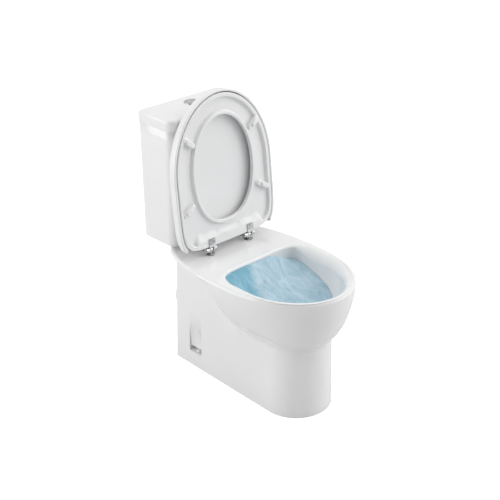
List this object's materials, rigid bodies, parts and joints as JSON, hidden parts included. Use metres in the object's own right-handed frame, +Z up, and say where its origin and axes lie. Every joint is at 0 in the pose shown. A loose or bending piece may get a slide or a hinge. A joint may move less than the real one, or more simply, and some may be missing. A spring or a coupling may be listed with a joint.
{
  "type": "close coupled toilet",
  "caption": "Close coupled toilet: skirted ceramic pan with a waste outlet at its back, ceramic cistern with push button flush, and a hinged seat and lid that lean back when raised.",
  "frame": {"origin": "on the floor, under the middle of the outline in plan", "axes": "+Z up; the front of the bowl faces -Y and the back of the cistern faces +Y; +X is to the right of a person who faces the toilet from the front"},
  "size_m": [0.39, 0.67, 0.8871],
  "materials": {
    "ceramic": "gloss",
    "seat_plastic": "gloss",
    "chrome": "polished",
    "steel": "satin",
    "brass": "satin",
    "rubber": "matte",
    "white_plastic": "satin",
    "blue_plastic": "satin",
    "grey_plastic": "satin",
    "cap_plastic": "satin"
  },
  "bodies": {
    "pan_and_cistern": {"pan": "ceramic", "floor_screws": "steel", "floor_screw_washers": "steel", "floor_screw_caps": "cap_plastic", "cistern_tank": "ceramic", "coupling_gasket": "rubber", "coupling_bolts": "brass", "coupling_bolt_seals": "rubber", "coupling_bolt_washers": "steel", "coupling_wing_nuts": "brass", "flush_valve_base": "white_plastic", "flush_valve_washer": "rubber", "flush_valve_backnut": "white_plastic", "flush_valve_tower": "blue_plastic", "fill_valve_body": "white_plastic", "fill_valve_washer": "rubber", "fill_valve_backnut": "white_plastic", "fill_valve_head": "blue_plastic", "fill_valve_arm_pin": "steel", "hinge_posts": "chrome", "hinge_pins": "chrome", "hinge_gaskets": "rubber", "hinge_cone_washers": "white_plastic", "hinge_wing_nuts": "white_plastic"},
    "flush_lift": {"flush_valve_tube": "white_plastic", "flush_valve_seal": "rubber"},
    "fill_float": {"fill_valve_float": "grey_plastic"},
    "fill_arm": {"fill_valve_arm": "white_plastic"},
    "cistern_cover": {"cistern_lid": "ceramic", "button_bezel": "chrome", "button_nut": "white_plastic", "full_flush_spring": "steel", "half_flush_spring": "steel"},
    "full_button": {"full_flush_button": "chrome", "full_flush_rod": "white_plastic"},
    "half_button": {"half_flush_button": "chrome", "half_flush_rod": "white_plastic"},
    "lid": {"seat_lid": "seat_plastic", "lid_buffers": "cap_plastic", "lid_hinge_plates": "chrome", "lid_hinge_screws": "steel"},
    "seat": {"seat_ring": "seat_plastic", "seat_buffers": "cap_plastic", "seat_hinge_plates": "chrome", "seat_hinge_screws": "steel"}
  },
  "joints": [
    {"name": "lid_hinge", "type": "hinge", "parent": "pan_and_cistern", "child": "lid", "pos_m": [0, 0.117, 0.424], "axis": [1, 0, 0], "range_deg": [0, 96.2]},
    {"name": "seat_hinge", "type": "hinge", "parent": "lid", "child": "seat", "pos_m": [0, 0.117, 0.424], "axis": [-1, 0, 0], "range_deg": [-96.2, 0]},
    {"name": "cistern_lid_lift", "type": "slide", "parent": "pan_and_cistern", "child": "cistern_cover", "axis": [0, 0.108, 0.9942], "range_m": [0, 0.08]},
    {"name": "full_flush_press", "type": "slide", "parent": "cistern_cover", "child": "full_button", "axis": [0, 0, -1], "range_m": [0, 0.004], "stiffness_N_per_m": 500, "springref_m": -0.003, "deforming": ["full_flush_spring"]},
    {"name": "half_flush_press", "type": "slide", "parent": "cistern_cover", "child": "half_button", "axis": [0, 0, -1], "range_m": [0, 0.004], "stiffness_N_per_m": 500, "springref_m": -0.003, "deforming": ["half_flush_spring"]},
    {"name": "flush_valve_lift", "type": "slide", "parent": "pan_and_cistern", "child": "flush_lift", "axis": [0, 0, 1], "range_m": [0, 0.01]},
    {"name": "float_rise", "type": "slide", "parent": "pan_and_cistern", "child": "fill_float", "axis": [0, 0, 1], "range_m": [0, 0.06]},
    {"name": "fill_arm_turn", "type": "hinge", "parent": "pan_and_cistern", "child": "fill_arm", "pos_m": [0.086, 0.277, 0.702], "axis": [0, 1, 0], "range_deg": [0, 15.5]}
  ],
  "couplings": [
    {"joint": "flush_valve_lift", "follows": "full_flush_press", "ratio": 2.5},
    {"joint": "fill_arm_turn", "follows": "float_rise", "rad_per_m": 4.3633}
  ]
}
